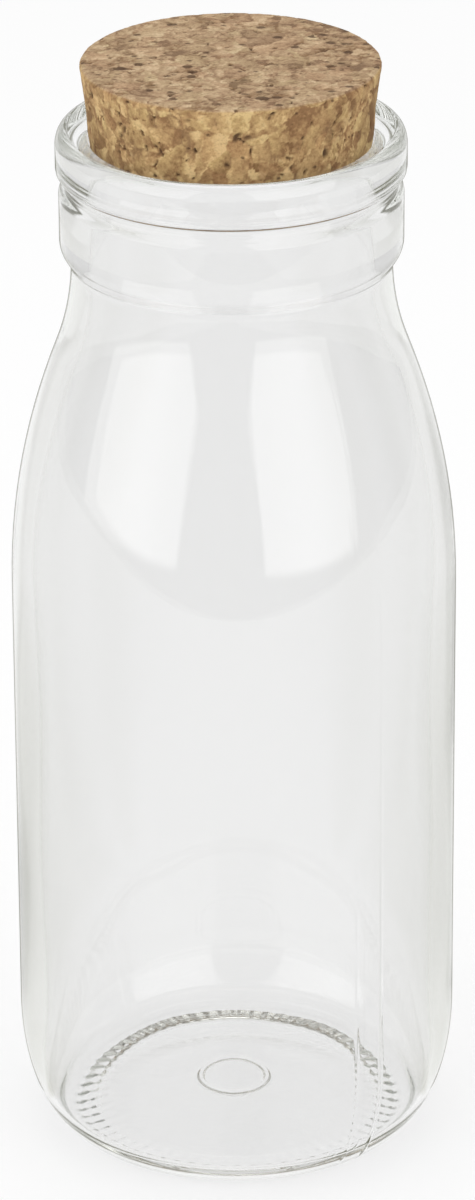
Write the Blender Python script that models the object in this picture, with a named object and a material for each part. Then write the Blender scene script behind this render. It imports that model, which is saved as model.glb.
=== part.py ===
# Glass bottle with a tapered cork stopper.
# Metres, +Z up. The origin is on the bottle's axis, at the level that the bottle stands on.

from math import acos, atan, atan2, cos, hypot, pi, sin

import bmesh
import bpy

# Glass body
body_radius = 0.0275
body_wall = 0.0028
body_height = 0.0734            # standing level to the start of the shoulder
heel_inset = 0.0067             # how far the rounded heel draws in to the bearing ring
heel_height = 0.0160

# Base
floor_thickness = 0.0038        # glass in the middle of the base
floor_dome = 0.0008             # rise of the floor inside, from its edge to its middle
inner_heel_inset = 0.0027
inner_heel_height = 0.0060
bearing_width = 0.0021          # width of the ribbed ring that the bottle stands on
bearing_step = 0.0006           # drop of the bearing ring below the edge of the underside
bearing_slope = 0.0006          # width of the slope between the two
push_up = 0.0006                # rise of the underside, from its edge to its middle
rib_count = 64
rib_height = 0.00025
mark_radius = 0.0039            # inner radius of the raised ring in the middle of the underside
mark_width = 0.0009
mark_height = 0.0002

# Shoulder, neck and mouth
shoulder_radius = 0.0833        # outward curve of the shoulder
throat_radius = 0.0296          # opposite curve that turns up into the neck
mouth_radius = 0.0171           # straight bore of the neck and mouth
neck_wall = 0.00235

# Collar and sealing bead
collar_step = 0.00135           # how far the collar stands out from the neck
collar_chamfer = 0.0021
collar_height = 0.0079
groove_depth = 0.00035          # crease between the collar and the bead
groove_height = 0.0009
bead_overhang = 0.00035         # how far the bead stands out from the collar
bead_height = 0.0058
bead_round_across = 0.0011      # rounding of the bead's outer top edge
bead_round_up = 0.0019
bead_under_round = 0.0008       # rounding of the bead's lower edge
lip_fall = 0.0010               # fall of the lip's top, from its crest in to the mouth
lip_round = 0.0004              # rounding of the mouth's inner edge

# Cork stopper
cork_clearance = 0.0003         # gap to the mouth's rounded inner edge
cork_taper = 0.1430             # growth of the radius for each unit of height
cork_above = 0.0085             # height that stands above the lip
cork_below = 0.0024             # depth that it sits below the top of the lip
cork_edge_round = 0.0005

# Fineness of the round surfaces: one step of the glass for each rib and the gap beside it
glass_steps = rib_count
cork_steps = 64

# Sizes that follow from those above
neck_radius = mouth_radius + neck_wall
collar_radius = neck_radius + collar_step
groove_radius = collar_radius - groove_depth
bead_radius = collar_radius + bead_overhang
inner_radius = body_radius - body_wall
bearing_outer = body_radius - heel_inset
bearing_inner = bearing_outer - bearing_width
underside_edge = rib_height + bearing_step
underside_level = underside_edge + push_up
floor_level = underside_level + floor_thickness - floor_dome
smooth_angle = pi / 6
tiny = 0.00001                  # tolerance for telling which points lie on the bearing ring


def arc(centre, across, up, start, end, steps):
    """Points of an elliptical arc as (radius, height), both ends included."""
    points = []
    for step in range(steps + 1):
        angle = start + (end - start) * step / steps
        points.append((centre[0] + across * cos(angle), centre[1] + up * sin(angle)))
    return points


def shoulder(lower_radius, upper_radius, outward, inward):
    """Two tangent arcs from the upright body in to the narrower upright neck."""
    turn = acos(1 - (lower_radius - upper_radius) / (outward + inward))
    top = body_height + (outward + inward) * sin(turn)
    lower = arc((lower_radius - outward, body_height), outward, outward, 0, turn, 5)
    upper = arc((upper_radius + inward, top), inward, inward, pi + turn, pi, 4)
    return lower + upper[1:]


def base_points():
    """Underside, from the axis out to the bearing ring."""
    mark_outer = mark_radius + mark_width
    mark_slope = mark_width / 4
    mark_level = underside_level - mark_height
    points = [
        (0, underside_level),
        (mark_radius, underside_level),
        (mark_radius + mark_slope, mark_level),
        (mark_outer - mark_slope, mark_level),
        (mark_outer, underside_level),
    ]
    edge_radius = bearing_inner - bearing_slope
    steps = 4
    for step in range(1, steps + 1):
        share = step / steps
        radius = mark_outer + (edge_radius - mark_outer) * share
        points.append((radius, underside_level - push_up * share ** 2))
    points.append((bearing_inner, rib_height))
    return points


def outer_points():
    """Outside of the glass, from the bearing ring up to the top of the lip."""
    heel_centre = (bearing_outer, heel_height)
    points = arc(heel_centre, heel_inset, heel_height - rib_height, -pi / 2, 0, 7)
    points += shoulder(body_radius, neck_radius, shoulder_radius, throat_radius)
    collar_bottom = points[-1][1] + collar_chamfer
    collar_top = collar_bottom + collar_height
    bead_bottom = collar_top + groove_height
    lip_top = bead_bottom + bead_height
    points.append((collar_radius, collar_bottom))
    points.append((collar_radius, collar_top))
    points.append((groove_radius, collar_top + groove_height / 2))
    points.append((groove_radius, bead_bottom))
    under_centre = (bead_radius - bead_under_round, bead_bottom + bead_under_round)
    points += arc(under_centre, bead_under_round, bead_under_round, -pi / 2, 0, 3)
    round_centre = (bead_radius - bead_round_across, lip_top - bead_round_up)
    points += arc(round_centre, bead_round_across, bead_round_up, 0, pi / 2, 5)
    return points


def inner_points(lip_top):
    """Inside of the glass, from the top of the lip down to the middle of the floor."""
    mouth_centre = (mouth_radius + lip_round, lip_top - lip_fall - lip_round)
    lean = atan2(lip_fall, bead_radius - bead_round_across - mouth_centre[0])
    points = arc(mouth_centre, lip_round, lip_round, pi / 2 + lean, pi, 3)
    inside = shoulder(
        inner_radius, mouth_radius, shoulder_radius - body_wall, throat_radius + neck_wall)
    points += inside[::-1]
    floor_edge = inner_radius - inner_heel_inset
    heel_centre = (floor_edge, floor_level + inner_heel_height)
    points += arc(heel_centre, inner_heel_inset, inner_heel_height, 0, -pi / 2, 5)
    steps = 4
    for step in range(1, steps + 1):
        share = step / steps
        points.append((floor_edge * (1 - share), floor_level + floor_dome * (1 - (1 - share) ** 2)))
    return points


def turned_mesh(points, steps, start_angle=0.0):
    """Turns a section, whose two ends lie on the axis, about +Z into one closed mesh."""
    mesh = bmesh.new()
    ring = []
    for radius, height in points:
        place = (radius * cos(start_angle), radius * sin(start_angle), height)
        ring.append(mesh.verts.new(place))
    edges = [mesh.edges.new(pair) for pair in zip(ring, ring[1:])]
    bmesh.ops.spin(
        mesh, geom=ring + edges, cent=(0, 0, 0), axis=(0, 0, 1), angle=2 * pi, steps=steps,
        use_merge=True)
    bmesh.ops.remove_doubles(mesh, verts=mesh.verts, dist=tiny / 10)
    bmesh.ops.recalc_face_normals(mesh, faces=mesh.faces)
    return mesh


def on_bearing_ring(item):
    """True if every corner of a face or an edge lies on the bearing ring."""
    for vert in item.verts:
        radius = hypot(vert.co.x, vert.co.y)
        if abs(vert.co.z - rib_height) > tiny:
            return False
        if not bearing_inner - bearing_width / 2 < radius < bearing_outer + tiny:
            return False
    return True


def add_ribs(mesh):
    """Stands radial ribs on the bearing ring, with their flat ends at the standing level."""
    round_edges = set()
    for face in filter(on_bearing_ring, mesh.faces):
        for edge in face.edges:
            ends = [hypot(vert.co.x, vert.co.y) for vert in edge.verts]
            if abs(ends[0] - ends[1]) < bearing_width / 2:
                round_edges.add(edge)
    bmesh.ops.subdivide_edges(mesh, edges=list(round_edges), cuts=1, use_grid_fill=True)
    cell_angle = pi / rib_count
    ribs = []
    for face in filter(on_bearing_ring, mesh.faces):
        centre = face.calc_center_median()
        if round(atan2(centre.y, centre.x) / cell_angle) % 2 == 0:
            ribs.append(face)
    ends = bmesh.ops.extrude_discrete_faces(mesh, faces=ribs)["faces"]
    corners = {vert for face in ends for vert in face.verts}
    bmesh.ops.translate(mesh, verts=list(corners), vec=(0, 0, -rib_height))
    bmesh.ops.recalc_face_normals(mesh, faces=mesh.faces)


def cork_points(lip_top):
    """Section of the cork about its own origin, the middle of its lower face."""
    height = cork_above + cork_below
    slant = atan(cork_taper)
    # The cone clears the rounded inner edge of the mouth by the same gap all round
    seat_radius = mouth_radius + lip_round - (lip_round + cork_clearance) / cos(slant)
    seat_height = cork_below - lip_fall - lip_round
    bottom_radius = seat_radius - cork_taper * seat_height
    top_radius = bottom_radius + cork_taper * height
    inset = cork_edge_round
    points = [(0, 0)]
    points += arc((bottom_radius - inset, inset), inset, inset, -pi / 2, -slant, 3)
    points += arc((top_radius - inset, height - inset), inset, inset, -slant, pi / 2, 3)
    points.append((0, height))
    return points


def make_material(name, colour, roughness, transmission, refraction):
    material = bpy.data.materials.new(name)
    material.use_nodes = True
    material.diffuse_color = (*colour, 1)
    shader = material.node_tree.nodes["Principled BSDF"]
    shader.inputs["Base Color"].default_value = (*colour, 1)
    shader.inputs["Metallic"].default_value = 0
    shader.inputs["Roughness"].default_value = roughness
    shader.inputs["Transmission Weight"].default_value = transmission
    shader.inputs["IOR"].default_value = refraction
    return material


def make_object(name, mesh, material, height):
    """Puts a mesh in the scene on the axis, smooth but for its sharp edges."""
    data = bpy.data.meshes.new(name)
    mesh.to_mesh(data)
    mesh.free()
    data.materials.append(material)
    data.shade_smooth()
    data.set_sharp_from_angle(angle=smooth_angle)
    thing = bpy.data.objects.new(name, data)
    thing.location = (0, 0, height)
    bpy.context.scene.collection.objects.link(thing)


def main():
    for thing in list(bpy.data.objects):
        bpy.data.objects.remove(thing, do_unlink=True)

    outside = outer_points()
    lip_top = outside[-1][1]
    glass = turned_mesh(
        base_points() + outside + inner_points(lip_top), glass_steps, -pi / rib_count / 2)
    add_ribs(glass)
    clear_glass = make_material("clear_glass", (0.93, 0.95, 0.93), 0.02, 1.0, 1.5)
    make_object("glass_bottle", glass, clear_glass, 0)

    # The cork slides straight up out of the mouth, so its origin is on that axis
    cork = turned_mesh(cork_points(lip_top), cork_steps)
    pressed_cork = make_material("pressed_cork", (0.42, 0.26, 0.14), 0.85, 0.0, 1.45)
    make_object("cork_stopper", cork, pressed_cork, lip_top - cork_below)


main()
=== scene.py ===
# Glass bottle with a cork: fine meshes and finishes for both pieces, with floor, light and camera
from itertools import product
from math import acos, atan2, cos, pi, radians, sin, tan

import bpy
import numpy as np
from mathutils import Matrix, Quaternion, Vector


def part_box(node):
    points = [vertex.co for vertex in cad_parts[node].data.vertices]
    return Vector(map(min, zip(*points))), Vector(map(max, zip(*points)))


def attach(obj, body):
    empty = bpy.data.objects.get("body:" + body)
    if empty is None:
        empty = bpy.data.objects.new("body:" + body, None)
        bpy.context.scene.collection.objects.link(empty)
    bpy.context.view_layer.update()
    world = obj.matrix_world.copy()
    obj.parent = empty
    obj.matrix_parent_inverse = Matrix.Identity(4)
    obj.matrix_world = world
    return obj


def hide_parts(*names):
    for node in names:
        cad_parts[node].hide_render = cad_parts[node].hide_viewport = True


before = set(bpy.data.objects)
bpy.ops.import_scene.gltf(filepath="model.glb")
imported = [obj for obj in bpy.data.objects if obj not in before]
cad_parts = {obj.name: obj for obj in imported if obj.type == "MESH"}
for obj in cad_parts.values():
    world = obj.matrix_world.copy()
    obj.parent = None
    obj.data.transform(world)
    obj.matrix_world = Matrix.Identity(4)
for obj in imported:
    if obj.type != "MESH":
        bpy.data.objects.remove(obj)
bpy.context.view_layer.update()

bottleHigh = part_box("glass_bottle")[1]
corkLow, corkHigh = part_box("cork_stopper")
scene = bpy.context.scene
mm = 0.001
white = (1, 1, 1, 1)
tiny = 1e-9


# Small helpers for nodes and objects

def tint(red, green, blue):
    # colour as seen on a screen, 0 to 255, turned into the linear colour that a shader takes
    seen = np.array((red, green, blue)) / 255
    linear = np.where(seen <= 0.04045, seen / 12.92, ((seen + 0.055) / 1.055) ** 2.4)
    return (*linear.tolist(), 1.0)


def newMaterial(name):
    material = bpy.data.materials.new(name)
    material.use_nodes = True
    return material, material.node_tree


def addNode(tree, kind, inputs=None, **options):
    node = tree.nodes.new("ShaderNode" + kind)
    for name, value in options.items():
        setattr(node, name, value)
    for name, value in (inputs or {}).items():
        if isinstance(value, bpy.types.NodeSocket):
            tree.links.new(value, node.inputs[name])
        else:
            node.inputs[name].default_value = value
    return node


def mathNode(tree, operation, *values, **options):
    return addNode(tree, "Math", dict(enumerate(values)), operation=operation, **options).outputs[0]


def rangeNode(tree, value, start, end, low=0.0, high=1.0, shape="SMOOTHSTEP"):
    # low where the value is at start, high where it is at end
    inputs = {"Value": value, "From Min": start, "From Max": end, "To Min": low, "To Max": high}
    return addNode(tree, "MapRange", inputs, interpolation_type=shape).outputs[0]


def blendColour(tree, factor, first, second, mode="MIX"):
    blend = addNode(tree, "Mix", data_type="RGBA", blend_type=mode)
    for name, value in (("Factor", factor), ("A", first), ("B", second)):
        socket = [s for s in blend.inputs if s.name == name and s.enabled][0]
        if isinstance(value, bpy.types.NodeSocket):
            tree.links.new(value, socket)
        else:
            socket.default_value = value
    return [s for s in blend.outputs if s.enabled][0]


def addRamp(tree, factor, stops):
    # stops: (position, colour) from low to high
    ramp = addNode(tree, "ValToRGB", {"Fac": factor})
    marks = ramp.color_ramp.elements
    while len(marks) < len(stops):
        marks.new(0.5)
    for mark, (position, colour) in zip(marks, stops):
        mark.position = position
        mark.color = colour
    return ramp.outputs["Color"]


def readValue(tree, name):
    return addNode(tree, "Attribute", attribute_name=name).outputs["Fac"]


def addObject(name, mesh, material):
    thing = bpy.data.objects.new(name, mesh)
    scene.collection.objects.link(thing)
    if material:
        mesh.materials.append(material)
    return thing


# Camera, at the photograph's angle

cameraLook = {
    "frame": (475, 1200),       # photograph in pixels
    "focal": 6299.4,            # in pixels of that frame
    "pitch": 23.935,            # degrees down from level
    "roll": -0.371,             # degrees
    "distance": 778.8 * mm,     # to the point that it looks at
    "aimHeight": 70.1 * mm,
    "axisAcross": 234.04,       # pixel column of the line of sight
    "sensor": 36.0,
    "nearest": 10 * mm,
}


def makeCamera():
    look = cameraLook
    width, height = look["frame"]
    data = bpy.data.cameras.new("photoCamera")
    data.sensor_width = look["sensor"]
    data.lens = look["focal"] * look["sensor"] / height
    data.shift_x = (width / 2 - look["axisAcross"]) / height
    data.clip_start = look["nearest"]
    camera = bpy.data.objects.new("photoCamera", data)
    scene.collection.objects.link(camera)
    pitch, roll = radians(look["pitch"]), radians(look["roll"])
    ahead = Vector((0, cos(pitch), -sin(pitch)))
    right = Vector((1, 0, 0))
    up = right.cross(ahead)
    turnedRight = right * cos(roll) + up * sin(roll)
    turnedUp = up * cos(roll) - right * sin(roll)
    place = Vector((0, 0, look["aimHeight"])) - ahead * look["distance"]
    axes = Matrix((turnedRight, turnedUp, -ahead)).transposed()
    camera.matrix_world = Matrix.Translation(place) @ axes.to_4x4()
    scene.camera = camera


# Floor, surroundings and lamps

floorLook = {
    # corners of the sheet in metres: its front edge is near, as its mirror image in the shoulder shows
    "sheet": [
        (-1.0, 2.0), (-0.85, 0.0), (-0.76, -0.16), (-0.62, -0.26), (-0.46, -0.295), (-0.25, -0.305),
        (0.0, -0.306), (0.15, -0.294), (0.27, -0.262), (0.38, -0.215), (0.47, -0.13), (0.55, 0.0),
        (0.75, 2.0)],
    "drop": 0.05 * mm,          # below the ribs of the base
    "colour": tint(236, 236, 236),
    "glow": 1.05,               # strength of the white that the camera and glass see
    "glowShare": 0.7,           # for the camera, so that the shadow stays
    "glassShare": 0.9,          # for what is seen through or in the glass
    # glass also sees that the white paper gives way to a greyer table at the sides
    "paperEdge": (22, 52),      # degrees off the middle line
    "paperEnd": (40 * mm, 75 * mm),         # it is all white this near the bottle
    "table": 0.92,
    # what is mirrored inside the glass is darker behind and beside the bottle: degrees off the back, colour
    "mirrored": [
        (0, tint(224, 225, 218)), (20, tint(210, 211, 203)), (30, tint(212, 213, 205)),
        (44, tint(228, 229, 223)), (66, tint(241, 242, 238)), (84, tint(200, 200, 186)),
        (105, tint(200, 200, 186)), (130, tint(255, 255, 255))],
    "mirroredEnd": (24 * mm, 38 * mm),      # but plain white this near the bottle
    "mirroredFar": (115 * mm, 200 * mm),    # and paler again past this
    "mirroredLeft": 0.4,                    # share that stays there
    # what the very outline mirrors, on the outside
    "outline": [(0, tint(110, 110, 98)), (9, tint(125, 125, 112)), (17, tint(255, 255, 255))],
    "outlineFrom": 27 * mm,     # the directions are those seen from the bottle's own outline
    # painted shade: the floor close in front of the bottle, darker where it is mirrored more than once
    "shaded": tint(112, 112, 90),
    "shadedEnd": (110 * mm, 34 * mm),
    "shadedEdge": 10 * mm,      # it starts at the middle of the bottle and is full this far in front
}
worldLook = {
    "ambient": 0.58,            # soft light from all round
    "white": 1.0,               # what the camera sees past the floor
    "room": 0.42,               # the dim room in front, which only shows mirrored in the glass
    "side": 0.76,               # paler surroundings behind, mirrored too
    "roomEdge": (0.25, 0.42),   # where the room gives way to them, as a share towards the back
    "back": 0.93,               # straight behind
    "backEdge": (0.90, 0.97),
    "manyTimes": tint(116, 116, 90),    # what is mirrored more than once
}
lampLook = {
    # azimuth from the front towards +X, width and height in degrees as seen from the bottle
    "windowLeft": {
        "azimuth": -56, "elevation": 20, "wide": 64, "tall": 56, "roll": -3.4, "radiance": 1.75,
        "rim": 0.70, "soft": 0.10},
    "windowRight": {
        "azimuth": 41, "elevation": 18, "wide": 58, "tall": 56, "roll": 0, "radiance": 1.58,
        "rim": 0.80, "soft": 0.10},
    "softTop": {
        "azimuth": 180, "elevation": 78, "wide": 50, "tall": 50, "roll": 0, "radiance": 1.9,
        "rim": 0.6, "soft": 0.3},
}
lampAim = 85 * mm               # height that the lamps face
lampDistance = 1.0


def floorGlow(tree, path, inGlass):
    # colour and strength of what the camera and the glass see of the floor
    look = floorLook
    place = addNode(tree, "TexCoord").outputs["Object"]
    parts = addNode(tree, "SeparateXYZ", {0: place})
    behind = parts.outputs["Y"]
    across, along = [mathNode(tree, "ABSOLUTE", parts.outputs[axis]) for axis in "XY"]
    reach = addNode(tree, "VectorMath", {0: place}, operation="LENGTH").outputs["Value"]

    # the table beside the paper
    turn = mathNode(tree, "ARCTAN2", across, along)
    sideways = rangeNode(tree, turn, *[radians(value) for value in look["paperEdge"]])
    onTable = mathNode(tree, "MULTIPLY", sideways, rangeNode(tree, reach, *look["paperEnd"]))
    onTable = mathNode(tree, "MULTIPLY", onTable, inGlass)
    level = mathNode(tree, "MULTIPLY_ADD", onTable, look["glow"] * (look["table"] - 1), look["glow"])

    # direction off the back, as a share that is 1 at the front
    aside = mathNode(tree, "ABSOLUTE", mathNode(tree, "SUBTRACT", across, look["outlineFrom"]))
    offBack = mathNode(tree, "DIVIDE", mathNode(tree, "ARCTAN2", aside, behind), pi)
    around, rim = [
        addRamp(tree, offBack, [(degrees / 180, colour) for degrees, colour in look[name]])
        for name in ("mirrored", "outline")]

    # the depths tell rays mirrored inside the glass from those mirrored on its outside
    glossy, through = path.outputs["Glossy Depth"], path.outputs["Transmission Depth"]
    again = mathNode(tree, "SUBTRACT", glossy, 1.0, use_clamp=True)
    # painted shade on the floor close in front of the bottle, only for rays mirrored more than once
    inFront = mathNode(tree, "DIVIDE", behind, -look["shadedEdge"], use_clamp=True)
    shaded = mathNode(tree, "MULTIPLY", rangeNode(tree, reach, *look["shadedEnd"]), inFront)
    shaded = mathNode(tree, "MULTIPLY", shaded, again)
    around = blendColour(tree, shaded, around, look["shaded"])
    beyond = rangeNode(tree, reach, *look["mirroredEnd"])
    mirrored = mathNode(tree, "MULTIPLY", glossy, beyond, use_clamp=True)
    paler = rangeNode(tree, reach, *look["mirroredFar"], 1.0, look["mirroredLeft"])
    mirrored = mathNode(tree, "MULTIPLY", mirrored, paler)
    mirrored = mathNode(tree, "MULTIPLY", mirrored, mathNode(tree, "MINIMUM", through, 1.0))
    seen = blendColour(tree, mirrored, white, around)
    onOutside = mathNode(tree, "SUBTRACT", glossy, through, use_clamp=True)
    return blendColour(tree, onOutside, seen, rim), level


def makeFloor():
    look = floorLook
    mesh = bpy.data.meshes.new("floor")
    mesh.from_pydata([(x, y, 0) for x, y in look["sheet"]], [], [range(len(look["sheet"]))])
    material, tree = newMaterial("paleFloor")
    tree.nodes.clear()
    path = addNode(tree, "LightPath")
    rays = [path.outputs[name] for name in ("Is Glossy Ray", "Is Transmission Ray")]
    inGlass = mathNode(tree, "ADD", *rays, use_clamp=True)
    direct = mathNode(tree, "MULTIPLY", path.outputs["Is Camera Ray"], look["glowShare"])
    share = mathNode(tree, "MULTIPLY_ADD", inGlass, look["glassShare"], direct, use_clamp=True)
    seen, level = floorGlow(tree, path, inGlass)
    matt = addNode(tree, "BsdfDiffuse", {"Color": look["colour"]})
    glow = addNode(tree, "Emission", {"Color": seen, "Strength": level})
    blend = addNode(tree, "MixShader", {0: share, 1: matt.outputs[0], 2: glow.outputs[0]})
    addNode(tree, "OutputMaterial", {"Surface": blend.outputs[0]})
    floor = addObject("floor", mesh, material)
    floor.location.z = -look["drop"]


def makeWorld():
    look = worldLook
    world = bpy.data.worlds.new("softStudio")
    world.use_nodes = True
    scene.world = world
    tree = world.node_tree
    tree.nodes.clear()
    path = addNode(tree, "LightPath")
    rays = [path.outputs[name] for name in ("Is Glossy Ray", "Is Transmission Ray")]
    seen = mathNode(tree, "ADD", *rays, use_clamp=True)
    seen = mathNode(tree, "ADD", seen, path.outputs["Is Camera Ray"], use_clamp=True)
    towards = addNode(tree, "SeparateXYZ", {0: addNode(tree, "TexCoord").outputs["Generated"]})
    back = towards.outputs["Y"]
    around = rangeNode(tree, back, *look["roomEdge"], look["room"], look["side"], shape="LINEAR")
    behind = rangeNode(tree, back, *look["backEdge"], 0.0, look["back"] - look["side"], shape="LINEAR")
    around = mathNode(tree, "ADD", around, behind)
    glossy = path.outputs["Glossy Depth"]
    once = mathNode(tree, "MINIMUM", glossy, 1.0)
    level = rangeNode(tree, once, 0.0, 1.0, look["white"], around, shape="LINEAR")
    again = mathNode(tree, "SUBTRACT", glossy, 1.0, use_clamp=True)
    colour = blendColour(tree, again, white, look["manyTimes"])
    backdrop = addNode(tree, "Background", {"Color": colour, "Strength": level})
    ambient = addNode(tree, "Background", {"Color": white, "Strength": look["ambient"]})
    blend = addNode(tree, "MixShader", {0: seen, 1: ambient.outputs[0], 2: backdrop.outputs[0]})
    addNode(tree, "OutputWorld", {"Surface": blend.outputs[0]})


def softenLamp(data, look):
    # soft edges all round, and brightest in the middle of its width
    data.use_nodes = True
    tree = data.node_tree
    place = addNode(tree, "SeparateXYZ", {0: addNode(tree, "NewGeometry").outputs["Parametric"]})
    strength = 1.0
    for axis in "XY":
        offset = mathNode(tree, "ABSOLUTE", mathNode(tree, "MULTIPLY_ADD", place.outputs[axis], 2.0, -1.0))
        edge = rangeNode(tree, offset, 1.0, 1.0 - look["soft"])
        strength = mathNode(tree, "MULTIPLY", strength, edge)
        if axis == "X":
            middle = rangeNode(tree, offset, 1.0, 0.0, look["rim"], 1.0)
            strength = mathNode(tree, "MULTIPLY", strength, middle)
    tree.links.new(strength, tree.nodes["Emission"].inputs["Strength"])


def makeLamps():
    for name, look in lampLook.items():
        azimuth, elevation = radians(look["azimuth"]), radians(look["elevation"])
        way = Vector((sin(azimuth) * cos(elevation), -cos(azimuth) * cos(elevation), sin(elevation)))
        data = bpy.data.lights.new(name, "AREA")
        data.shape = "RECTANGLE"
        data.size = 2 * lampDistance * tan(radians(look["wide"] / 2))
        data.size_y = 2 * lampDistance * tan(radians(look["tall"] / 2))
        data.energy = look["radiance"] * pi * data.size * data.size_y
        softenLamp(data, look)
        lamp = bpy.data.objects.new(name, data)
        lamp.location = Vector((0, 0, lampAim)) + way * lampDistance
        lamp.rotation_mode = "QUATERNION"
        roll = Quaternion((0, 0, 1), radians(look["roll"]))
        lamp.rotation_quaternion = way.to_track_quat("Z", "Y") @ roll
        lamp.visible_camera = False
        scene.collection.objects.link(lamp)


# Glass

glass = {
    "bodyRadius": bottleHigh.x,
    "lipTop": bottleHigh.z,
    "bodyWall": 2.8 * mm,
    "bodyHeight": 73.4 * mm,        # standing level to the start of the shoulder
    "heelInset": 6.7 * mm,
    "heelHeight": 16.0 * mm,
    "floorThickness": 3.4 * mm,
    "floorDome": 0.8 * mm,
    "floorTilt": 1.0 * mm,          # the floor is a little lower in front than at the back
    "tiltFade": (5 * mm, 12 * mm),  # heights over which the tilt fades out up the inner wall
    "innerHeelInset": 2.7 * mm,
    "innerHeelHeight": 10.5 * mm,
    "ringInset": 1.0 * mm,          # flat between the bearing ring and the heel
    "bearingWidth": 2.1 * mm,
    "bearingStep": 0.6 * mm,        # the ribbed ring slopes down outward to the standing level
    "bearingCurve": 1.5,            # power of that slope
    "pushUp": 0.6 * mm,
    "ribCount": 64,
    "ribHeight": 0.25 * mm,
    "ribWave": 0.23,                # gentle ribs, which rise and fall by twice this share of ribHeight
    "ribFade": (0.3 * mm, 0.2 * mm),        # how far beyond and within the ring's edges they fade out
    "baseLevel": 3.2 * mm,          # the ribs and the mark move only what lies lower than this
    "markRadius": 3.9 * mm,
    "markWidth": 0.9 * mm,
    "markHeight": 0.2 * mm,
    "markSlope": 0.225 * mm,
    "markSoft": 0.45,               # rounding of the slope's corners, as a share of it
    "markFlat": (0.80, 1.15),       # the flat beside the mark, as shares of its two radii
    "markAside": (-0.33 * mm, 1.4 * mm),    # the mark sits a little off the middle
    "asideFade": (7 * mm, 15 * mm),         # radii over which that shift fades out
    "shoulderRadius": 83.3 * mm,
    "throatRadius": 29.6 * mm,
    "mouthRadius": 17.1 * mm,
    "neckWall": 2.35 * mm,
    "collarStep": 1.35 * mm,
    "collarChamfer": 2.1 * mm,
    "collarHeight": 7.0 * mm,
    "grooveDepth": 0.60 * mm,
    "grooveHeight": 1.8 * mm,
    "beadOverhang": 0.35 * mm,
    "beadRoundAcross": 1.1 * mm,
    "beadRoundUp": 1.9 * mm,
    "beadUnderRound": 1.3 * mm,
    "lipFall": 1.0 * mm,            # the top of the lip slopes down in to the mouth
    "lipRound": 0.4 * mm,
    "crestSoft": 0.35 * mm,
    "softEdge": 0.9 * mm,           # moulded glass has no sharp corner
    "columnsPerRib": 6,
}
# mould seams: degrees right of the front, and height as a share; the last lies opposite the first
seams = {
    "places": [(40.6, 1.0), (32.8, 0.4), (220.6, 0.3)],
    "width": 0.34 * mm,
    "height": 0.10 * mm,
    "start": (0.3 * mm, 1.2 * mm),          # heights over which they come up
    "melt": (10 * mm, 48 * mm, 0.8),        # heights over which they lose this share
    "end": (100 * mm, 112 * mm),            # and over which they end
    "columnReach": 1.5,             # half width of the closer set of columns, in seam widths
    "columnClear": 1.1,             # the even columns stay this far off, in those half widths
    "columns": (-1, -0.6, -0.35, -0.17, 0, 0.17, 0.35, 0.6, 1),     # places of the set, in half widths
}
# slow unevenness that blown glass has on the inside
wave = {
    "height": 0.10 * mm,
    "start": (8 * mm, 20 * mm),     # heights over which it comes up
    "end": (95 * mm, 118 * mm),
    # share, waves around, start angle, its drift up the body, then rate and start of the swell
    "parts": [
        (0.45, 2, 1.2, 2.0, 0.0, pi / 2), (0.35, 3, -0.6, -5.0, 0.0, pi / 2), (0.25, 7, 0.0, 3.0, 9.0, 0.8),
        (0.20, 13, 1.0, -4.0, 6.0, 0.0)],
}
# steps along each stretch of the section
glassSteps = {
    "middle": 2, "mark": 2, "pushUp": 14, "ring": 12, "ringFlat": 2, "heel": 26, "wall": 12,
    "shoulder": 14, "throat": 10, "corner": 4, "beadUnder": 5, "beadTop": 12, "crest": 6, "lip": 8,
    "mouthEdge": 8, "bore": 6, "innerWall": 14, "innerHeel": 18, "floor": 12,
}
innerRadius = glass["bodyRadius"] - glass["bodyWall"]
heelStart = glass["bodyRadius"] - glass["heelInset"]
bearingOuter = heelStart - glass["ringInset"]
bearingInner = bearingOuter - glass["bearingWidth"]
underEdge = glass["ribHeight"] + glass["bearingStep"]
underLevel = underEdge + glass["pushUp"]
neckRadius = glass["mouthRadius"] + glass["neckWall"]
collarRadius = neckRadius + glass["collarStep"]
beadRadius = collarRadius + glass["beadOverhang"]
crestRadius = beadRadius - glass["beadRoundAcross"]


def smoothStep(low, high, value):
    share = np.clip((value - low) / (high - low), 0, 1)
    return share * share * (3 - 2 * share)


def arc(centre, across, up, start, end, steps):
    angles = [start + (end - start) * step / steps for step in range(steps + 1)]
    return [(centre[0] + across * cos(angle), centre[1] + up * sin(angle)) for angle in angles]


def straight(start, end, steps):
    # points after start, up to and with end
    return [tuple(np.add(start, np.subtract(end, start) * step / steps)) for step in range(1, steps + 1)]


def softened(corners, cut, steps):
    # corner points of an open outline, each inner corner replaced by a short curve
    most = 0.48         # of a side, so that the curves at its two ends don't meet
    points = [corners[0]]
    for before, corner, after in zip(corners, corners[1:], corners[2:]):
        here = Vector(corner)
        back, forward = Vector(before) - here, Vector(after) - here
        length = min(cut, back.length * most, forward.length * most)
        start, end = here + back.normalized() * length, here + forward.normalized() * length
        for step in range(steps + 1):
            share = step / steps
            point = start * (1 - share) ** 2 + here * 2 * share * (1 - share) + end * share ** 2
            points.append(tuple(point))
    points.append(corners[-1])
    return points


def shoulderArcs(lowerRadius, upperRadius, outward, inward):
    turn = acos(1 - (lowerRadius - upperRadius) / (outward + inward))
    top = glass["bodyHeight"] + (outward + inward) * sin(turn)
    lowerCentre = (lowerRadius - outward, glass["bodyHeight"])
    lower = arc(lowerCentre, outward, outward, 0, turn, glassSteps["shoulder"])
    upper = arc((upperRadius + inward, top), inward, inward, pi + turn, pi, glassSteps["throat"])
    return lower + upper[1:]


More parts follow.
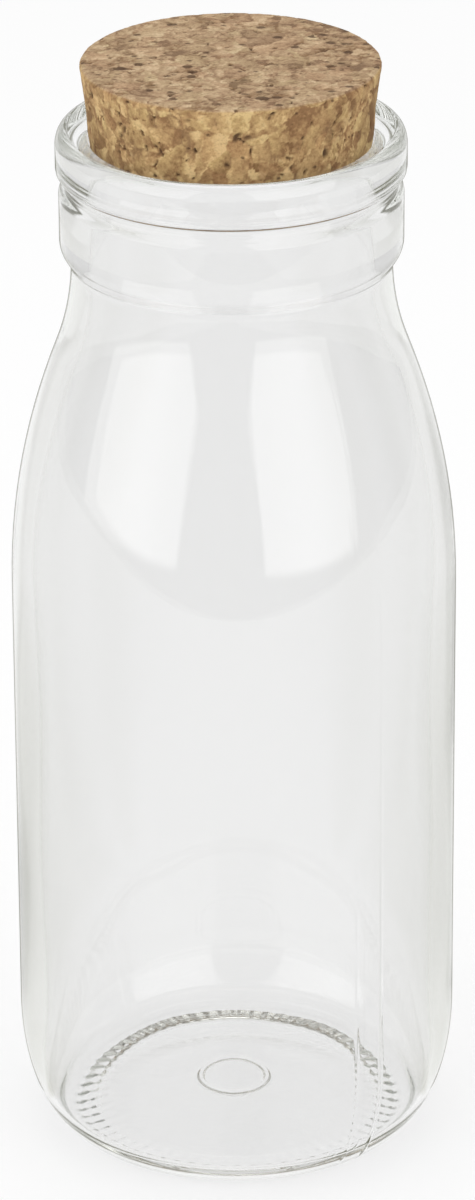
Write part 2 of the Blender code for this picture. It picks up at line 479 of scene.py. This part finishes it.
def undersideOutline():
    g, steps = glass, glassSteps
    inner, outer = g["markRadius"], g["markRadius"] + g["markWidth"]
    low = underLevel - g["markHeight"]
    flatStart, flatEnd = inner * g["markFlat"][0], outer * g["markFlat"][1]
    mark = [
        (flatStart, underLevel), (inner, underLevel), (inner + g["markSlope"], low),
        (outer - g["markSlope"], low), (outer, underLevel), (flatEnd, underLevel)]
    points = [(0, underLevel)] + straight((0, underLevel), mark[0], steps["middle"])[:-1]
    points += softened(mark, g["markSlope"] * g["markSoft"], steps["mark"])
    for radius, _ in straight((flatEnd, 0), (bearingInner, 0), steps["pushUp"]):
        share = (radius - outer) / (bearingInner - outer)
        points.append((radius, underEdge + g["pushUp"] * (1 - share ** 2)))
    return points


def outsideOutline():
    g, steps = glass, glassSteps
    ringLevel = g["ribHeight"]
    points = []
    for step in range(1, steps["ring"] + 1):
        share = step / steps["ring"]
        rise = g["bearingStep"] * (1 - share ** g["bearingCurve"])
        points.append((bearingInner + g["bearingWidth"] * share, ringLevel + rise))
    points += straight(points[-1], (heelStart, ringLevel), steps["ringFlat"])
    heelCentre = (heelStart, g["heelHeight"])
    heel = arc(heelCentre, g["heelInset"], g["heelHeight"] - ringLevel, -pi / 2, 0, steps["heel"])
    points += heel[1:]
    points += straight(points[-1], (g["bodyRadius"], g["bodyHeight"]), steps["wall"])
    points += shoulderArcs(g["bodyRadius"], neckRadius, g["shoulderRadius"], g["throatRadius"])[1:]

    neckTop = points.pop()[1]
    collarBottom = neckTop + g["collarChamfer"]
    collarTop = collarBottom + g["collarHeight"]
    grooveRadius = collarRadius - g["grooveDepth"]
    beadBottom = collarTop + g["grooveHeight"]
    corners = [
        points[-1], (neckRadius, neckTop), (collarRadius, collarBottom), (collarRadius, collarTop),
        (grooveRadius, (collarTop + beadBottom) / 2), (grooveRadius, beadBottom)]
    points += softened(corners, g["softEdge"], steps["corner"])[1:-1]
    under = g["beadUnderRound"]
    points += arc((beadRadius - under, beadBottom + under), under, under, -pi / 2, 0, steps["beadUnder"])
    topCentre = (crestRadius, g["lipTop"] - g["beadRoundUp"])
    points += arc(topCentre, g["beadRoundAcross"], g["beadRoundUp"], 0, pi / 2, steps["beadTop"])
    return points


def insideOutline():
    g, steps = glass, glassSteps
    lipCentre = (g["mouthRadius"] + g["lipRound"], g["lipTop"] - g["lipFall"] - g["lipRound"])
    crestEnd = crestRadius - g["crestSoft"]
    lean = atan2(g["lipFall"], crestEnd - lipCentre[0])
    edge = arc(lipCentre, g["lipRound"], g["lipRound"], pi / 2 + lean, pi, steps["mouthEdge"])
    crest = [(crestRadius, g["lipTop"]), (crestEnd, g["lipTop"]), edge[0]]
    points = softened(crest, g["crestSoft"], steps["crest"])[1:-1]
    points += straight(points[-1], edge[0], steps["lip"]) + edge[1:]
    outward, inward = g["shoulderRadius"] - g["bodyWall"], g["throatRadius"] + g["neckWall"]
    shoulder = shoulderArcs(innerRadius, g["mouthRadius"], outward, inward)[::-1]
    points += straight(points[-1], shoulder[0], steps["bore"]) + shoulder[1:]

    floorLevel = underLevel + g["floorThickness"] - g["floorDome"]
    floorEdge = innerRadius - g["innerHeelInset"]
    heelTop = floorLevel + g["innerHeelHeight"]
    points += straight(points[-1], (innerRadius, heelTop), steps["innerWall"])
    heelCentre = (floorEdge, heelTop)
    points += arc(
        heelCentre, g["innerHeelInset"], g["innerHeelHeight"], 0, -pi / 2, steps["innerHeel"])[1:]
    for step in range(1, steps["floor"] + 1):
        share = 1 - step / steps["floor"]
        points.append((floorEdge * share, floorLevel + g["floorDome"] * (1 - share ** 2)))
    return points


def offAngle(angle, middle):
    # how far an angle is off another one, either way round
    return np.abs((angle - middle + pi) % (2 * pi) - pi)


def seamAngles():
    return [((radians(turn) - pi / 2) % (2 * pi), share) for turn, share in seams["places"]]


def columnAngles():
    # even columns, with a closer set across each mould seam
    count = glass["ribCount"] * glass["columnsPerRib"]
    angles = [2 * pi / count * column for column in range(count)]
    reach = seams["columnReach"] * seams["width"] / glass["bodyRadius"]
    for seam, _ in seamAngles():
        angles = [angle for angle in angles if offAngle(angle, seam) > reach * seams["columnClear"]]
        angles += [(seam + reach * share) % (2 * pi) for share in seams["columns"]]
    return np.array(sorted(angles))


def innerWave(angle, height):
    up = height / glass["bodyHeight"]
    total = 0
    for share, count, start, drift, swell, swellStart in wave["parts"]:
        total = total + share * np.sin(count * angle + start + drift * up) * np.sin(swell * up + swellStart)
    return total


def closedFaces(rows, columns):
    # quads between the rows of a turned mesh, then a fan to each of the two points that follow them
    ring = np.arange(columns)
    after = (ring + 1) % columns
    faces = []
    for start in range(0, (rows - 1) * columns, columns):
        end = start + columns
        faces += np.stack([start + ring, start + after, end + after, end + ring], axis=1).tolist()
    first = rows * columns
    lastRow = first - columns
    faces += [(first, b, a) for a, b in zip(ring.tolist(), after.tolist())]
    faces += [(first + 1, lastRow + a, lastRow + b) for a, b in zip(ring.tolist(), after.tolist())]
    return faces


def makeGlassMesh():
    g = glass
    outlines = [undersideOutline(), outsideOutline(), insideOutline()]
    outline = np.array(sum(outlines, []))
    part = np.repeat(range(3), [len(points) for points in outlines])[:, None]
    onOutside, onInside = part == 1, part == 2
    angles = columnAngles()
    radius, angle = np.meshgrid(outline[:, 0], angles, indexing="ij")
    height = np.repeat(outline[:, 1:], len(angles), axis=1)

    # ribs stand on the bearing ring, and their ends reach the standing level
    beyond, within = g["ribFade"]
    across = smoothStep(bearingInner - beyond, bearingInner + within, radius)
    across *= 1 - smoothStep(bearingOuter - within, bearingOuter + beyond, radius)
    along = 1 - g["ribWave"] * (1 - np.cos(angle * g["ribCount"]))
    onBase = (height < g["baseLevel"]) & ~onInside
    height = np.maximum(height - np.where(onBase, g["ribHeight"] * across * along, 0), 0)
    near = np.where(onBase, 1 - smoothStep(*g["asideFade"], radius), 0)

    # the seams stand up on the outside, clearest at the heel, and their crest reaches the full radius
    meltStart, meltEnd, melt = seams["melt"]
    strength = 1 - melt * smoothStep(meltStart, meltEnd, height)
    raised = -1.0
    for seam, share in seamAngles():
        ridge = 1 - smoothStep(0, seams["width"], offAngle(angle, seam) * radius)
        raised = raised + share * ridge * strength
    reach = smoothStep(*seams["start"], height) * (1 - smoothStep(*seams["end"], height))
    radius = radius + np.where(onOutside, seams["height"] * raised * reach, 0)

    fade = smoothStep(*wave["start"], height) * (1 - smoothStep(*wave["end"], height))
    radius = radius - np.where(onInside, wave["height"] * fade * innerWave(angle, height), 0)
    share = (1 - smoothStep(*g["tiltFade"], height)) * radius / g["bodyRadius"]
    height = height + np.where(onInside, g["floorTilt"] * share * np.sin(angle), 0)

    asideX, asideY = [shift * near for shift in g["markAside"]]
    points = np.stack([radius * np.cos(angle) + asideX, radius * np.sin(angle) + asideY, height], axis=-1)
    verts = np.vstack([points[1:-1].reshape(-1, 3), points[0, :1], points[-1, :1]])
    mesh = bpy.data.meshes.new("bottle_fine")
    mesh.from_pydata(verts.tolist(), [], closedFaces(len(outline) - 2, len(angles)))
    mesh.validate()
    mesh.shade_smooth()
    return mesh


glassFinish = {
    "ior": 1.5,
    "tint": (0.907, 0.907, 0.906, 1),       # light that one wall lets through
    "absorb": (0.50, 0.56, 0.40, 1),
    "density": 1.2,                 # per metre of glass
    "ripple": 0.015 * mm,           # height of the faint ripples on the surface
    "rippleForm": {"Scale": 90, "Detail": 1.0},
    "stipple": 0.012 * mm,          # rougher underside
    "stippleForm": {"Scale": 900, "Detail": 2.0},
    "stippleEnd": (2.2 * mm, 1.2 * mm),     # heights from which it starts and is full
}


def makeGlassMaterial():
    look = glassFinish
    material, tree = newMaterial("clearGlass")
    shader = tree.nodes["Principled BSDF"]
    shader.inputs["Base Color"].default_value = look["tint"]
    shader.inputs["Roughness"].default_value = 0.0
    shader.inputs["IOR"].default_value = look["ior"]
    shader.inputs["Transmission Weight"].default_value = 1.0
    place = addNode(tree, "TexCoord").outputs["Object"]
    ripple = addNode(tree, "TexNoise", {"Vector": place, **look["rippleForm"]})
    bump = addNode(tree, "Bump", {"Strength": 1.0, "Distance": look["ripple"], "Height": ripple.outputs[0]})
    stipple = addNode(tree, "TexNoise", {"Vector": place, **look["stippleForm"]})
    level = addNode(tree, "SeparateXYZ", {0: place}).outputs["Z"]
    rough = rangeNode(tree, level, *look["stippleEnd"], shape="LINEAR")
    cast = addNode(tree, "Bump", {
        "Strength": rough, "Distance": look["stipple"], "Height": stipple.outputs[0],
        "Normal": bump.outputs[0]})
    tree.links.new(cast.outputs[0], shader.inputs["Normal"])
    absorb = addNode(tree, "VolumeAbsorption", {"Color": look["absorb"], "Density": look["density"]})
    tree.links.new(absorb.outputs[0], tree.nodes["Material Output"].inputs["Volume"])
    return material


def makeBottle():
    bottle = addObject("bottle_fine", makeGlassMesh(), makeGlassMaterial())
    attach(bottle, "bottle")
    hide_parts("glass_bottle")
    print("glass:", len(bottle.data.polygons), "faces")


# Cork

cork = {
    "low": corkLow.z,
    "high": corkHigh.z,
    "topRadius": corkHigh.x,
    "taper": 0.1430,                # growth of the radius for each unit of height
    "edgeRound": 0.6 * mm,
    "seatSwell": 0.27 * mm,         # squeezed cork nearly fills the mouth
    "swellEnd": (131.6 * mm, 135.5 * mm),   # heights over which the swell ends
    "spacing": 0.2 * mm,            # mesh
    "columns": 180,                 # of the plain plug, and rows of its side
    "rows": 40,
    "fineRows": 400,                # of the outline that its points are put back on
    "edgeRows": 24,
    "bend": 0.45 * mm,              # how far soft noise bends the grains, in big folds
    "fineBend": 0.13 * mm,          # and in small ones
    "grainSlim": 0.72,              # 0 for round grains, nearly 1 for needles
    # the top was cut, so it is smoother and finer than the side
    "topEdge": (0.5, 0.9),          # upward share of the surface's direction
    "topSmoother": 0.45,
    "topFiner": 0.12,
    "chips": 0.60,                  # share of the grains that are made up of smaller ones
    "crumbs": 0.10,                 # and share that is made up of the smallest
    "ownColour": 0.35,              # share of the whole grain's colour that its chips keep
    "toneSpread": 0.60,
    "shade": (0.75, 0.28, 0.6),     # of one side of a grain, how much less on the top, and its limit
    "clusterEdge": (0.30, 0.65),    # darker patches on the top
    "clusterTone": 0.20,
    "crackWidth": (0.02 * mm, 0.20 * mm),
    "crackOpen": (0.10, 0.70),      # noise that opens a seam to a crack
    "crackDepth": 0.10 * mm,
    # gaps where three grains meet, carved and coloured dark as painted shade
    "gapSize": (0.15 * mm, 0.10 * mm),      # and how much it varies
    "gapCore": 0.5,                 # share that is fully deep
    "gapOpen": (0.35, 0.55),        # noise that opens them
    "gapByCrack": 0.3,              # share of the cracks' noise in it
    # torn-out pits, large and few on the side, smaller on the top, carved and coloured dark as painted
    # shade
    "pitSize": (0.20 * mm, 0.34 * mm),      # and how much it varies
    "pitCore": 0.45,                # share that is fully deep
    "pitShare": 0.34,               # share of the places for a pit that have one
    # how dark the pits are made as painted shade, which also scales their carved depth
    "pitDark": 0.9,
    "pitTopSmaller": 0.35,
    "pitTopMore": 0.16,
    "pitTopFlatter": 0.18,
    "pitDepth": 0.34 * mm,
    # grains of dark bark, and browner patches of the side
    "barkEdge": (0.90, 0.95),
    "bark": (0.8, 0.3),             # and how much less on the top
    "brownEdge": (0.25, 0.60),
    "brown": 0.50,
    "grainStep": 0.05 * mm,         # one grain stands out from the next
    "stepEdge": 0.12 * mm,
    "unevenness": 0.10 * mm,
    "streakLength": 0.80,           # 0 for specks, nearly 1 for lines along the grain
    "streakDepth": 0.02 * mm,
}
# size and seed of each soft noise, and of each packing of grains
corkNoise = {
    "bend": (1.5 * mm, 11), "fineBend": (0.5 * mm, 14), "crack": (1.3 * mm, 20), "gap": (0.7 * mm, 21),
    "streak": (0.30 * mm, 22), "brown": (3.2 * mm, 24), "uneven": (1.1 * mm, 27), "cluster": (2.6 * mm, 28),
}
corkGrains = {
    "grain": (2.8 * mm, 17), "chip": (1.45 * mm, 18), "crumb": (0.75 * mm, 19), "pit": (2.0 * mm, 23),
}


def softNoise(points, size, seed):
    # smooth random value from -1 to 1 at each point
    count = 48          # cells before it repeats
    shift = 16.0
    table = np.random.default_rng(seed).uniform(-1, 1, (count, count, count))
    place = points / size + shift
    cell = np.floor(place).astype(int)
    share = place - cell
    share = share * share * (3 - 2 * share)
    total = np.zeros(len(points))
    for corner in product((0, 1), repeat=3):
        weight = np.prod(np.where(corner, share, 1 - share), axis=1)
        x, y, z = ((cell + corner) % count).T
        total += weight * table[x, y, z]
    return total


def softVectors(points, size, seed):
    return np.stack([softNoise(points, size, seed + axis) for axis in range(3)], axis=1)


def grains(points, size, seed):
    # long grains packed together, each with its own direction. For each point: four random numbers of
    # its grain, that grain's direction, its shading, how much further off the second and the third grain
    # are, and how far off its own middle is
    count = 40          # cells before it repeats
    scatter = (0.1, 0.9)
    steepest = 0.8
    slim = cork["grainSlim"]
    rng = np.random.default_rng(seed)
    jitter = rng.uniform(*scatter, (count, count, count, 3))
    numbers = rng.random((count, count, count, 4))
    ways = rng.normal(size=(count, count, count, 3))
    ways /= np.linalg.norm(ways, axis=-1, keepdims=True)
    cell = np.floor(points / size).astype(int)
    nearest = np.full((len(points), 3), np.inf)
    own = np.zeros((len(points), 4))
    ownWay = np.zeros_like(points)
    ownGap = np.zeros_like(points)
    for offset in product((-2, -1, 0, 1, 2), repeat=3):
        home = cell + offset
        x, y, z = (home % count).T
        gap = points - (home + jitter[x, y, z]) * size
        way = ways[x, y, z]
        along = (gap * way).sum(axis=1)
        distance = np.sqrt(np.maximum((gap ** 2).sum(axis=1) - slim * along ** 2, 0))
        closer = distance < nearest[:, 0]
        own[closer] = numbers[x, y, z][closer]
        ownWay[closer] = way[closer]
        ownGap[closer] = gap[closer]
        nearest = np.sort(np.column_stack([nearest, distance]), axis=1)[:, :3]
    # each grain is shaded from one side to the other
    turn = own[:, 0] * 2 * pi
    slope = np.stack([np.cos(turn), np.sin(turn), steepest * (2 * own[:, 1] - 1)], axis=1)
    shade = (ownGap * slope).sum(axis=1) / size
    first, second, third = nearest.T
    return own, ownWay, shade, second - first, third - first, first


def corkRadius(height):
    plain = cork["topRadius"] - cork["taper"] * (cork["high"] - height)
    return plain + cork["seatSwell"] * (1 - smoothStep(*cork["swellEnd"], height))


def corkOutline(rows):
    # outline of the plain cork with its outward directions
    low, high, inset = cork["low"], cork["high"], cork["edgeRound"]
    side = [(corkRadius(height), height) for height in np.linspace(low + inset, high - inset, rows)]
    lowCentre = (side[0][0] - inset, side[0][1])
    highCentre = (side[-1][0] - inset, side[-1][1])
    bottom = [(lowCentre[0] * share, low) for share in np.linspace(0, 1, rows)]
    top = [(highCentre[0] * share, high) for share in np.linspace(1, 0, rows)]
    lowRound = arc(lowCentre, inset, inset, -pi / 2, 0, cork["edgeRows"])[1:-1]
    highRound = arc(highCentre, inset, inset, 0, pi / 2, cork["edgeRows"])[1:-1]
    points = np.array(bottom + lowRound + side + highRound + top)
    along = np.gradient(points, axis=0)
    outward = np.stack([along[:, 1], -along[:, 0]], axis=1)
    outward /= np.linalg.norm(outward, axis=1)[:, None]
    return points, outward


def plainCorkMesh():
    # turned plug, remeshed to small even faces
    outline, _ = corkOutline(cork["rows"])
    angles = np.linspace(0, 2 * pi, cork["columns"], endpoint=False)
    verts = [(r * cos(a), r * sin(a), z) for r, z in outline[1:-1] for a in angles]
    verts += [(0, 0, cork["low"]), (0, 0, cork["high"])]
    mesh = bpy.data.meshes.new("corkPlain")
    mesh.from_pydata(verts, [], closedFaces(len(outline) - 2, len(angles)))
    plain = addObject("corkPlain", mesh, None)
    remesh = plain.modifiers.new("even", "REMESH")
    remesh.mode = "VOXEL"
    remesh.voxel_size = cork["spacing"]
    remesh.adaptivity = 0
    depsgraph = bpy.context.evaluated_depsgraph_get()
    even = bpy.data.meshes.new_from_object(plain.evaluated_get(depsgraph))
    bpy.data.objects.remove(plain)
    return even


def projected(points):
    # nearest place on the exact outline and the outward direction there
    batch = 4000        # points at a time, which spares memory
    outline, outward = corkOutline(cork["fineRows"])
    radius = np.hypot(points[:, 0], points[:, 1])
    flat = np.stack([radius, points[:, 2]], axis=1)
    nearest = np.empty(len(flat), int)
    for start in range(0, len(flat), batch):
        part = flat[start:start + batch]
        gaps = ((part[:, None, :] - outline[None, :, :]) ** 2).sum(axis=2)
        nearest[start:start + batch] = gaps.argmin(axis=1)
    along = np.stack([-outward[nearest, 1], outward[nearest, 0]], axis=1)
    slide = ((flat - outline[nearest]) * along).sum(axis=1)[:, None]
    exact = outline[nearest] + along * slide
    direction = points[:, :2] / np.maximum(radius, tiny)[:, None]
    place = np.column_stack([direction * exact[:, :1], exact[:, 1]])
    normal = np.column_stack([direction * outward[nearest, :1], outward[nearest, 1]])
    return place, normal


def packedGrains(bent, topShare):
    # big grains, some of them made up of chips and a few of crumbs
    c = cork
    own, way, shade, whole, corner, _ = grains(bent, *corkGrains["grain"])
    number, seam = own, whole
    kind = own[:, 3] - c["topFiner"] * topShare
    for name, limit in (("chip", c["chips"]), ("crumb", c["crumbs"])):
        small, smallWay, smallShade, smallSeam, smallCorner, _ = grains(bent, *corkGrains[name])
        split = kind < limit
        mixed = c["ownColour"] * own + (1 - c["ownColour"]) * small
        number = np.where(split[:, None], mixed, number)
        way = np.where(split[:, None], smallWay, way)
        shade = np.where(split, smallShade, shade)
        seam = np.where(split, np.minimum(whole, smallSeam), seam)
        if name == "chip":
            corner = np.where(split, np.minimum(corner, smallCorner), corner)
    return number, way, shade, seam, corner


def corkPattern(place, normal):
    # how deep each point lies below the plain cork, and the values that its colours are made from
    c = cork
    topShare = smoothStep(*c["topEdge"], normal[:, 2])
    bent = place + softVectors(place, *corkNoise["bend"]) * c["bend"]
    bent = bent + softVectors(place, *corkNoise["fineBend"]) * c["fineBend"]
    number, way, shade, seam, corner = packedGrains(bent, topShare)

    most, topLess, limit = c["shade"]
    cluster = smoothStep(*c["clusterEdge"], softNoise(place, *corkNoise["cluster"])) * topShare
    tone = 0.5 + (number[:, 0] - 0.5) * c["toneSpread"]
    tone = tone + (most - topLess * topShare) * np.clip(shade, -limit, limit) - c["clusterTone"] * cluster

    loose, gaping = [softNoise(place, *corkNoise[name]) for name in ("crack", "gap")]
    crack = (1 - smoothStep(*c["crackWidth"], seam)) * smoothStep(*c["crackOpen"], loose)
    gapSize, gapVary = c["gapSize"]
    gapLimit = gapSize + gapVary * gaping
    hole = 1 - smoothStep(gapLimit * c["gapCore"], gapLimit, corner)
    hole = hole * smoothStep(*c["gapOpen"], gaping + c["gapByCrack"] * loose)
    streakPlace = bent - (bent * way).sum(axis=1)[:, None] * way * c["streakLength"]
    streak = softNoise(streakPlace, *corkNoise["streak"])

    pit, _, _, _, _, away = grains(bent, *corkGrains["pit"])
    pitSize, pitVary = c["pitSize"]
    size = (pitSize + pitVary * pit[:, 1]) * (1 - c["pitTopSmaller"] * topShare)
    fleck = 1 - smoothStep(size * c["pitCore"], size, away)
    fleck = fleck * (pit[:, 0] < c["pitShare"] + c["pitTopMore"] * topShare)
    barkMost, barkTopLess = c["bark"]
    bark = smoothStep(*c["barkEdge"], number[:, 2]) * (barkMost - barkTopLess * topShare)
    browner = smoothStep(*c["brownEdge"], softNoise(place, *corkNoise["brown"])) * (1 - topShare)
    bark = np.maximum(bark, c["brown"] * browner)
    # painted shade in the gaps and pits, also the mask that carves them
    dark = np.clip(np.maximum(hole, c["pitDark"] * fleck), 0, 1)

    roughness = 1 - c["topSmoother"] * topShare
    depth = c["pitDepth"] * dark * (1 - c["pitTopFlatter"] * topShare) + c["crackDepth"] * crack
    depth += c["unevenness"] * roughness * (softNoise(place, *corkNoise["uneven"]) + 1) / 2
    depth += c["grainStep"] * roughness * number[:, 3] * smoothStep(0, c["stepEdge"], seam)
    depth += c["streakDepth"] * (streak + 1)
    values = {
        "cluster": cluster, "tone": tone, "hue": number[:, 1], "streak": (streak + 1) / 2, "crack": crack,
        "dark": dark, "bark": bark, "top": topShare}
    return np.maximum(depth, 0), values


def makeCorkMesh():
    mesh = plainCorkMesh()
    mesh.name = "cork_fine"
    raw = np.empty(len(mesh.vertices) * 3, np.float32)
    mesh.vertices.foreach_get("co", raw)
    place, normal = projected(raw.reshape(-1, 3).astype(float))
    depth, values = corkPattern(place, normal)
    carved = place - normal * depth[:, None]
    mesh.vertices.foreach_set("co", carved.astype(np.float32).ravel())
    for name, value in values.items():
        attribute = mesh.attributes.new(name, "FLOAT", "POINT")
        attribute.data.foreach_set("value", value.astype(np.float32))
    mesh.shade_smooth()
    mesh.update()
    return mesh


corkFinish = {
    "side": [
        (0.00, tint(136, 103, 70)), (0.25, tint(158, 125, 86)), (0.50, tint(174, 142, 99)),
        (0.75, tint(188, 156, 109)), (1.00, tint(205, 175, 127))],
    "top": [
        (0.00, tint(132, 105, 80)), (0.25, tint(160, 132, 102)), (0.50, tint(176, 148, 116)),
        (0.75, tint(188, 161, 128)), (1.00, tint(204, 179, 145))],
    "hue": [(0.0, (1.03, 0.98, 0.97, 1)), (0.5, white), (1.0, (0.98, 1.01, 0.96, 1))],
    # fine noise: the speck darkens and roughens, the mottle shifts the tone
    "speck": {"Scale": 3000, "Detail": 3.0, "Roughness": 0.65},
    "speckTone": [(0.3, (0.74, 0.72, 0.68, 1)), (0.5, white), (0.8, (1.08, 1.08, 1.06, 1))],
    "mottle": {"Scale": 1300, "Detail": 4.0, "Roughness": 0.72},
    "mottleTone": (1.5, -0.75),     # factor and shift
    "streakTone": (0.45, -0.22),
    "seam": tint(128, 98, 68),
    "seamCover": 0.8,
    # painted shade of the gaps and pits, and the colour of the small dark specks
    "hollowShadeAndSpeck": tint(76, 54, 38),
    "bark": (0.64, 0.56, 0.54, 1),
    # small dark specks, most of them on the top
    "dotScale": 640,
    "dotStretch": (0.75, 1.0, 1.2),
    "dotBend": 0.6 * mm,            # how far the mottle bends them
    "dotFrom": 0.25,                # random number from which there is a speck
    "dotSize": 0.38,                # its size where that number is highest
    "dotOnSide": 0.55,              # share of that size on the side
    "dotInCluster": 0.14,           # growth in the darker patches
    "dotEdge": 9.0,                 # sharpness
    "dotCover": 0.8,
    "roughness": 0.9,
    "specular": 0.25,
    "bump": {"Strength": 0.5, "Distance": 0.06 * mm},
}


def darkSpecks(tree, place, mottle):
    # how much the small dark specks cover each place
    look = corkFinish
    stretched = addNode(tree, "Mapping", {"Vector": place, "Scale": look["dotStretch"]})
    bend = addNode(tree, "VectorMath", {0: mottle, 1: (look["dotBend"],) * 3}, operation="MULTIPLY")
    spot = addNode(tree, "VectorMath", {0: stretched.outputs[0], 1: bend.outputs[0]}, operation="ADD")
    dots = addNode(tree, "TexVoronoi", {"Vector": spot.outputs[0], "Scale": look["dotScale"]})
    draw = addNode(tree, "SeparateColor", {0: dots.outputs["Color"]})
    reach = rangeNode(tree, draw.outputs[0], look["dotFrom"], 1.0, 0.0, look["dotSize"], shape="LINEAR")
    size = rangeNode(tree, readValue(tree, "top"), 0.0, 1.0, look["dotOnSide"], 1.0, shape="LINEAR")
    reach = mathNode(tree, "MULTIPLY", reach, size)
    reach = mathNode(tree, "MULTIPLY_ADD", readValue(tree, "cluster"), look["dotInCluster"], reach)
    cover = mathNode(tree, "SUBTRACT", reach, dots.outputs["Distance"])
    cover = mathNode(tree, "MULTIPLY", cover, look["dotEdge"], use_clamp=True)
    return mathNode(tree, "MULTIPLY", cover, look["dotCover"])


def makeCorkMaterial():
    look = corkFinish
    material, tree = newMaterial("pressedCork")
    shader = tree.nodes["Principled BSDF"]
    place = addNode(tree, "TexCoord").outputs["Object"]
    speck = addNode(tree, "TexNoise", {"Vector": place, **look["speck"]}).outputs[0]
    mottle = addNode(tree, "TexNoise", {"Vector": place, **look["mottle"]})
    tone = readValue(tree, "tone")
    mottleShift = mathNode(tree, "MULTIPLY_ADD", mottle.outputs[0], *look["mottleTone"])
    tone = mathNode(tree, "ADD", tone, mottleShift)
    streakShift = mathNode(tree, "MULTIPLY_ADD", readValue(tree, "streak"), *look["streakTone"])
    tone = mathNode(tree, "ADD", tone, streakShift, use_clamp=True)
    side, top = [addRamp(tree, tone, look[name]) for name in ("side", "top")]
    colour = blendColour(tree, readValue(tree, "top"), side, top)
    for factor, stops in ((readValue(tree, "hue"), look["hue"]), (speck, look["speckTone"])):
        colour = blendColour(tree, 1.0, colour, addRamp(tree, factor, stops), "MULTIPLY")
    colour = blendColour(tree, readValue(tree, "bark"), colour, look["bark"], "MULTIPLY")
    seam = mathNode(tree, "MULTIPLY", readValue(tree, "crack"), look["seamCover"], use_clamp=True)
    colour = blendColour(tree, seam, colour, look["seam"])
    # painted shade in the gaps and pits
    colour = blendColour(tree, readValue(tree, "dark"), colour, look["hollowShadeAndSpeck"])
    colour = blendColour(tree, darkSpecks(tree, place, mottle.outputs["Color"]), colour, look["hollowShadeAndSpeck"])
    tree.links.new(colour, shader.inputs["Base Color"])
    shader.inputs["Roughness"].default_value = look["roughness"]
    shader.inputs["Specular IOR Level"].default_value = look["specular"]
    bump = addNode(tree, "Bump", {"Height": speck, **look["bump"]})
    tree.links.new(bump.outputs[0], shader.inputs["Normal"])
    return material


def makeCork():
    piece = addObject("cork_fine", makeCorkMesh(), makeCorkMaterial())
    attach(piece, "cork")
    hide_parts("cork_stopper")
    print("cork:", len(piece.data.polygons), "faces")


makeCamera()
makeFloor()
makeWorld()
makeLamps()
print("camera, floor and light are in place")
makeBottle()
makeCork()

scene.view_settings.view_transform = "Standard"
# light runs far along inside the glass
bounces = 128
scene.cycles.max_bounces = bounces
scene.cycles.transmission_bounces = bounces
scene.cycles.glossy_bounces = bounces
